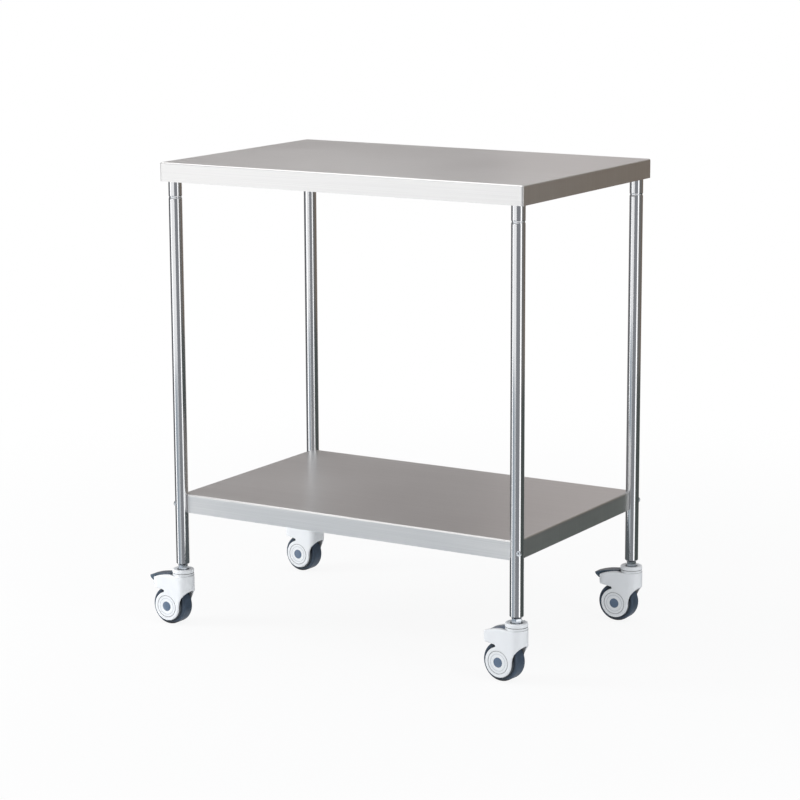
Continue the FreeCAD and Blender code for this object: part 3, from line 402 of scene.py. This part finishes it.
class TABLE_OT_dress_sheets(bpy.types.Operator):
    """Gives worktop, shelf, ribs and brackets their brushed stainless finish"""
    bl_idname = "table.dress_sheets"
    bl_label = "Dress worktop and shelf"

    def execute(self, context):
        give(brushed_sheet(), (
            "worktop", "worktop_stiffener_front", "worktop_stiffener_rear",
            "shelf", "shelf_stiffener", "shelf_corner_brackets"))
        return {"FINISHED"}


class TABLE_OT_dress_legs(bpy.types.Operator):
    """Gives the legs, their sockets and foot plugs their polished finish"""
    bl_idname = "table.dress_legs"
    bl_label = "Dress legs"

    def execute(self, context):
        give(polished_tube(), ["leg_foot_plugs", *at_corners("leg_tube", "leg_socket")])
        return {"FINISHED"}


class TABLE_OT_dress_steel(bpy.types.Operator):
    """Gives screws, studs, stems, axles, bearings and brake shoes their plated finish"""
    bl_idname = "table.dress_steel"
    bl_label = "Dress fasteners and bearings"

    def execute(self, context):
        give(plated_steel(), [
            "shelf_screws", "shelf_screw_nuts", "leg_joint_studs",
            *at_corners("caster_stem", "caster_swivel_bearing", "caster_axle",
                        "caster_wheel_bearings", "brake_shoe")])
        return {"FINISHED"}


class TABLE_OT_dress_housings(bpy.types.Operator):
    """Gives the caster housings and collars their white moulded finish"""
    bl_idname = "table.dress_housings"
    bl_label = "Dress caster housings"

    def execute(self, context):
        colours, sizes = context.scene.table_colours, context.scene.table_sizes
        # The housings take painted shade deep into their insides, as far as the housing gap.
        housing = moulded_plastic(
            "White moulded polyamide", colours.white, roughness=0.36, edge=sizes.soft_edge,
            gap=sizes.housing_gap)
        give(housing, at_corners("caster_housing"))
        # The collars' own copy of the white keeps the painted shade to a thin line in their recess.
        collar = moulded_plastic(
            "White moulded polyamide of the collars", colours.white, roughness=0.36,
            edge=0.6 * MM, gap=sizes.collar_gap)
        give(collar, at_corners("caster_collar"))
        return {"FINISHED"}


class TABLE_OT_dress_slate(bpy.types.Operator):
    """Gives the pedals, slot covers and axle caps their slate moulded finish"""
    bl_idname = "table.dress_slate"
    bl_label = "Dress pedals and caps"

    def execute(self, context):
        colours, sizes = context.scene.table_colours, context.scene.table_sizes
        slate = moulded_plastic(
            "Slate moulded polyamide", colours.slate, roughness=0.24, edge=0.5 * MM, gap=sizes.gap)
        give(slate, at_corners("slot_cover", "caster_axle_caps"))
        # The pedals take a lower slate than caps and covers: painted shade.
        pedal_slate_shaded = moulded_plastic(
            "Slate moulded polyamide of the pedals, with painted shade", colours.pedal_with_painted_shade, roughness=0.24, edge=0.5 * MM,
            gap=sizes.gap)
        give(pedal_slate_shaded, at_corners("brake_pedal"))
        return {"FINISHED"}


class TABLE_OT_dress_wheels(bpy.types.Operator):
    """Gives the wheel cores and their soft treads their finishes"""
    bl_idname = "table.dress_wheels"
    bl_label = "Dress wheels"

    def execute(self, context):
        colours, sizes = context.scene.table_colours, context.scene.table_sizes
        core = moulded_plastic(
            "Grey moulded polypropylene", colours.core, roughness=0.45, edge=0.4 * MM,
            gap=sizes.gap)
        give(core, at_corners("caster_wheel"))
        give(soft_tread(), at_corners("caster_tread"))
        return {"FINISHED"}


# New moulded details

def axle_line(corner):
    """The middle of a wheel's axle and the direction along it, from the joint of that wheel."""
    for joint in frame["joints"]:
        if joint["name"] == f"spin_{corner}":
            return Vector(joint["pos_m"]), Vector(joint["axis"]).normalized()
    raise RuntimeError(f"no wheel joint at {corner}")


def reach_along(name, middle, axle):
    """How far a node reaches along an axle from its middle."""
    return max((vertex.co - middle).dot(axle) for vertex in NODES[name].data.vertices)


class TABLE_OT_add_ear_rings(bpy.types.Operator):
    """Adds the fine raised ring between cap and groove on each housing ear"""
    bl_idname = "table.add_ear_rings"
    bl_label = "Add ear rings"

    def execute(self, context):
        colours, sizes = context.scene.table_colours, context.scene.table_sizes
        # The rings take a greyer white than the housings: painted shade that draws them as a faint
        # line.
        matt = moulded_plastic(
            "White moulded polyamide, ring greyed as painted shade", colours.ring, roughness=0.5, edge=0.2 * MM,
            gap=sizes.collar_gap)
        for corner in CORNERS:
            middle, axle = axle_line(corner)
            ear = reach_along(f"caster_housing_{corner}", middle, axle)
            if ear > reach_along(f"caster_axle_caps_{corner}", middle, axle):
                raise RuntimeError("the ears stand outside their caps")
            for side, word in ((1, "out"), (-1, "in")):
                ring = self.turn_ring(sizes)
                ring.name = f"ear_ring_{word}_{corner}"
                turn = (axle * side).to_track_quat("Z", "Y").to_matrix().to_4x4()
                place = Matrix.Translation(middle + axle * side * ear)
                ring.data.transform(place @ turn)
                ring.data.update()
                ring.data.materials.append(matt)
                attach(ring, f"swivel_{corner}")
        return {"FINISHED"}

    def turn_ring(self, sizes):
        """A flat ring with a rounded crest: a circle's edge is extruded outwards in steps, and the
        middle is then lifted."""
        clear_selection()
        inner = sizes.ring_radius - sizes.ring_width / 2
        bpy.ops.mesh.primitive_circle_add(
            vertices=RING_VERTICES, radius=inner, location=(0, 0, -RING_SINK))
        ring = bpy.context.object
        bpy.ops.object.transform_apply(location=True, rotation=True, scale=True)
        bpy.ops.object.mode_set(mode="EDIT")
        bpy.ops.mesh.select_all(action="SELECT")
        radius = inner
        for step in range(1, RING_STEPS + 1):
            bpy.ops.mesh.extrude_edges_move()
            wider = inner + sizes.ring_width * step / RING_STEPS
            bpy.ops.transform.resize(value=(wider / radius, wider / radius, 1))
            radius = wider
        bpy.ops.object.mode_set(mode="OBJECT")
        for vertex in ring.data.vertices:
            out = (Vector(vertex.co[:2]).length - inner) / sizes.ring_width
            vertex.co.z += math.sin(math.pi * min(max(out, 0), 1)) * (sizes.ring_rise + RING_SINK)
        bpy.ops.object.mode_set(mode="EDIT")
        bpy.ops.mesh.select_all(action="SELECT")
        bpy.ops.mesh.normals_make_consistent(inside=False)
        bpy.ops.object.mode_set(mode="OBJECT")
        if sum(face.normal.z for face in ring.data.polygons) < 0:
            ring.data.flip_normals()
        bpy.ops.object.shade_smooth_by_angle(angle=math.radians(40))
        return ring


# Studio

def studio_card(name, start, end, low_edge, high_edge, colour, strength):
    """A grey card that curves round the table. Only reflections see it, as metal on a photo set
    mirrors the cards that stand round it."""
    clear_selection()
    bpy.ops.mesh.primitive_grid_add(x_subdivisions=CARD_STEPS, y_subdivisions=1, size=1)
    card = bpy.context.object
    card.name = name
    for vertex in card.data.vertices:
        turn = math.radians(start + (vertex.co.x + 0.5) * (end - start))
        out, up = high_edge if vertex.co.y > 0 else low_edge
        vertex.co = (math.sin(turn) * out, -math.cos(turn) * out, up)
    material = bpy.data.materials.new(name)
    output = start_nodes(material)
    light = add_node(material, "ShaderNodeEmission", {"Color": linear(colour), "Strength": strength})
    join(material, light.outputs[0], output.inputs["Surface"])
    card.data.materials.append(material)
    card.visible_camera = False
    card.visible_diffuse = False
    card.visible_shadow = False
    card.visible_transmission = False


def ray_is(owner, *kinds):
    """One where the ray is of any of the kinds, else zero."""
    path = add_node(owner, "ShaderNodeLightPath")
    found = path.outputs[kinds[0]]
    for kind in kinds[1:]:
        either = add_node(
            owner, "ShaderNodeMath", links={0: found, 1: path.outputs[kind]}, operation="MAXIMUM")
        found = either.outputs[0]
    return found


class TABLE_OT_set_stage(bpy.types.Operator):
    """Sets the pale floor, the white room, the cards and the soft lamps"""
    bl_idname = "table.set_stage"
    bl_label = "Set stage"

    def execute(self, context):
        lights = context.scene.table_lights
        self.lay_floor()
        self.light_room(context, lights.sky)
        for card in CARDS:
            studio_card(*card)
        self.hang_lamp("key_lamp", azimuth=-56, wide=0.85, power=lights.key)
        self.hang_lamp("fill_lamp", azimuth=75, wide=0.6, power=lights.fill)
        return {"FINISHED"}

    def lay_floor(self):
        """A matt white floor. Camera and glass see it turn plain white further out, and metal mirrors
        the cards in its place."""
        clear_selection()
        bpy.ops.mesh.primitive_grid_add(x_subdivisions=8, y_subdivisions=8, size=FLOOR_SIZE)
        floor = bpy.context.object
        floor.name = "floor"
        material = bpy.data.materials.new("Matt white painted floor")
        output = start_nodes(material)
        paint = add_node(material, "ShaderNodeBsdfPrincipled", {
            "Base Color": linear(FLOOR_WHITE), "Roughness": 0.9, "Specular IOR Level": 0.0})
        coordinates = add_node(material, "ShaderNodeTexCoord")
        away = add_node(material, "ShaderNodeVectorMath", links={
            0: coordinates.outputs["Object"]}, operation="LENGTH")
        far = add_node(material, "ShaderNodeMapRange", {
            "From Min": SHADOW_NEAR, "From Max": SHADOW_FAR,
            "To Min": PLAIN_NEAR, "To Max": PLAIN_FAR}, {
            "Value": away.outputs["Value"]}, interpolation_type="SMOOTHSTEP")
        seen = ray_is(material, "Is Camera Ray", "Is Transmission Ray")
        share = add_node(material, "ShaderNodeMath", links={
            0: far.outputs["Result"], 1: seen}, operation="MULTIPLY")
        white = add_node(material, "ShaderNodeEmission", {"Color": (1, 1, 1, 1), "Strength": 1.0})
        mix = add_node(material, "ShaderNodeMixShader", links={
            0: share.outputs[0], 1: paint.outputs[0], 2: white.outputs[0]})
        join(material, mix.outputs[0], output.inputs["Surface"])
        floor.data.materials.append(material)
        floor.visible_glossy = False

    def light_room(self, context, strength):
        """Plain light all round, from a room that camera, metal and glass see as white."""
        world = bpy.data.worlds.new("White room")
        context.scene.world = world
        output = start_nodes(world, "ShaderNodeOutputWorld")
        plain = add_node(world, "ShaderNodeBackground", {
            "Color": linear(ROOM_WHITE), "Strength": strength})
        white = add_node(world, "ShaderNodeBackground", {"Color": (1, 1, 1, 1), "Strength": 1.0})
        seen = ray_is(world, "Is Camera Ray", "Is Glossy Ray", "Is Transmission Ray")
        mix = add_node(world, "ShaderNodeMixShader", links={
            0: seen, 1: plain.outputs[0], 2: white.outputs[0]})
        join(world, mix.outputs[0], output.inputs["Surface"])

    def hang_lamp(self, name, azimuth, wide, power):
        """A tall soft box that faces the table. Metal mirrors a card in its place."""
        lamp = bpy.data.lights.new(name, "AREA")
        lamp.shape = "RECTANGLE"
        lamp.size = wide
        lamp.size_y = LAMP_TALL
        lamp.energy = power
        holder = bpy.data.objects.new(name, lamp)
        bpy.context.scene.collection.objects.link(holder)
        turn = math.radians(azimuth)
        holder.location = (
            math.sin(turn) * LAMP_DISTANCE, -math.cos(turn) * LAMP_DISTANCE, LAMP_HEIGHT)
        holder.rotation_euler = (math.radians(90), 0, turn)
        holder.visible_glossy = False


class TABLE_OT_set_camera(bpy.types.Operator):
    """Sets the camera at the photograph's viewpoint"""
    bl_idname = "table.set_camera"
    bl_label = "Set camera"

    def execute(self, context):
        back = Vector((
            math.sin(CAMERA_AZIMUTH) * math.cos(CAMERA_PITCH),
            -math.cos(CAMERA_AZIMUTH) * math.cos(CAMERA_PITCH),
            math.sin(CAMERA_PITCH)))
        right = Vector((0, 0, 1)).cross(back).normalized()
        up = back.cross(right)
        level = Matrix((right, up, back)).transposed()
        turned = level @ Matrix.Rotation(CAMERA_ROLL, 3, "Z")
        data = bpy.data.cameras.new("photo_camera")
        data.sensor_width = CAMERA_SENSOR
        data.lens = CAMERA_LENS
        data.clip_end = CAMERA_REACH
        camera = bpy.data.objects.new("photo_camera", data)
        context.scene.collection.objects.link(camera)
        camera.matrix_world = Matrix.Translation(CAMERA_PLACE) @ turned.to_4x4()
        context.scene.camera = camera
        context.scene.view_settings.view_transform = "Standard"
        return {"FINISHED"}


# Panel and start

class TABLE_PT_panel(bpy.types.Panel):
    """Lists the steps that dress the table, and the values that they use"""
    bl_idname = "TABLE_PT_panel"
    bl_label = "Instrument table"
    bl_space_type = "VIEW_3D"
    bl_region_type = "UI"
    bl_category = "Instrument table"

    def draw(self, context):
        for step in STEPS:
            self.layout.operator(step.bl_idname)
        for group in ("table_colours", "table_sizes", "table_lights"):
            values = getattr(context.scene, group)
            box = self.layout.box()
            for name in values.bl_rna.properties.keys():
                if name not in ("rna_type", "name"):
                    box.prop(values, name)


GROUPS = (TableColours, TableSizes, TableLights)
STEPS = (
    TABLE_OT_dress_sheets, TABLE_OT_dress_legs, TABLE_OT_dress_steel, TABLE_OT_dress_housings,
    TABLE_OT_dress_slate, TABLE_OT_dress_wheels, TABLE_OT_add_ear_rings, TABLE_OT_set_stage,
    TABLE_OT_set_camera,
)


def register():
    for made in (*GROUPS, *STEPS, TABLE_PT_panel):
        bpy.utils.register_class(made)
    bpy.types.Scene.table_colours = bpy.props.PointerProperty(type=TableColours)
    bpy.types.Scene.table_sizes = bpy.props.PointerProperty(type=TableSizes)
    bpy.types.Scene.table_lights = bpy.props.PointerProperty(type=TableLights)


def unregister():
    del bpy.types.Scene.table_lights
    del bpy.types.Scene.table_sizes
    del bpy.types.Scene.table_colours
    for made in reversed((*GROUPS, *STEPS, TABLE_PT_panel)):
        bpy.utils.unregister_class(made)


def main():
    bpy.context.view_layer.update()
    register()
    bpy.ops.table.dress_sheets()
    bpy.ops.table.dress_legs()
    bpy.ops.table.dress_steel()
    bpy.ops.table.dress_housings()
    bpy.ops.table.dress_slate()
    bpy.ops.table.dress_wheels()
    bpy.ops.table.add_ear_rings()
    bpy.ops.table.set_stage()
    bpy.ops.table.set_camera()


if __name__ == "__main__":
    main()
